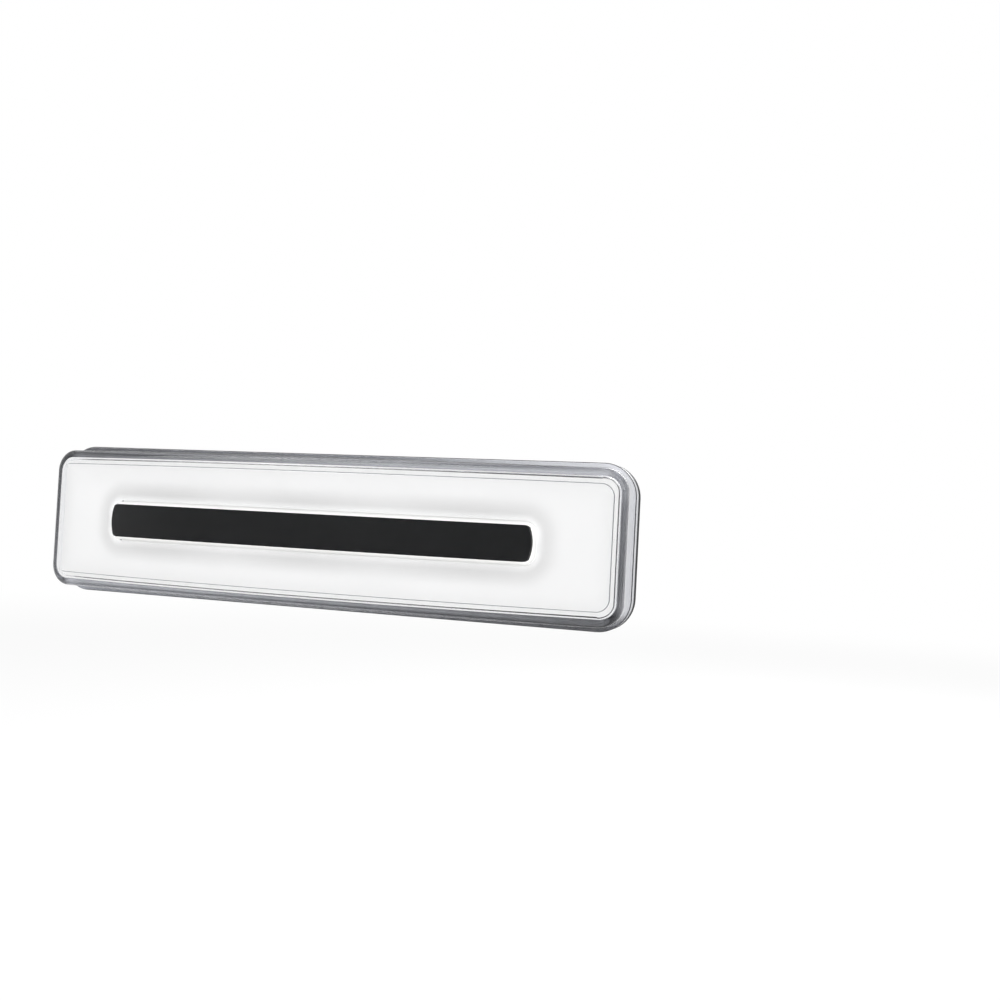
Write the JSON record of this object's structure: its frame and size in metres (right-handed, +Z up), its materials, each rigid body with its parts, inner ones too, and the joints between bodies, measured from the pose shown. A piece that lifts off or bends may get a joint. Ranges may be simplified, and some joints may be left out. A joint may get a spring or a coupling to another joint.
{
  "type": "clearance lamp",
  "caption": "Rectangular LED clearance lamp with an arched clear lens over a white face and dark centre bar, black housing, spring clips and a short flying lead.",
  "frame": {"origin": "centre of the cut-out that the lamp snaps into, in the plane of the panel face that the flange rests on", "axes": "+X along the lamp to the right as seen from in front of the lens, +Y through the panel to the rear, +Z up"},
  "size_m": [0.17, 0.0506, 0.042],
  "materials": {
    "clear_acrylic": "polished",
    "white_plastic": "satin",
    "guide_acrylic": "polished",
    "bar_plastic": "satin",
    "housing_plastic": "satin",
    "black_rubber": "matte",
    "board_white": "satin",
    "led_package": "satin",
    "chip_black": "matte",
    "can_aluminium": "satin",
    "screw_steel": "gloss",
    "solder": "gloss",
    "clip_steel": "satin",
    "vent_plastic": "matte",
    "membrane_white": "matte",
    "cable_jacket": "satin",
    "white_insulation": "satin",
    "black_insulation": "satin",
    "tinned_copper": "gloss"
  },
  "bodies": {
    "root": {"outer_lens": "clear_acrylic", "reflector": "white_plastic", "centre_bar": "bar_plastic", "light_guide": "guide_acrylic", "circuit_board": "board_white", "led_row": "led_package", "resistor_row": "chip_black", "driver_chip": "chip_black", "input_diode": "chip_black", "capacitor": "can_aluminium", "board_screws": "screw_steel", "solder_joints": "solder", "inner_leads": "white_insulation", "seal_bead": "black_rubber", "rear_housing": "housing_plastic", "vent_membrane": "membrane_white", "vent_cap": "vent_plastic", "cable_gland": "black_rubber", "left_clip": "clip_steel", "right_clip": "clip_steel", "clip_screws": "screw_steel", "cable": "cable_jacket", "white_wire": "white_insulation", "black_wire": "black_insulation", "white_wire_strands": "tinned_copper", "black_wire_strands": "tinned_copper"}
  },
  "joints": []
}
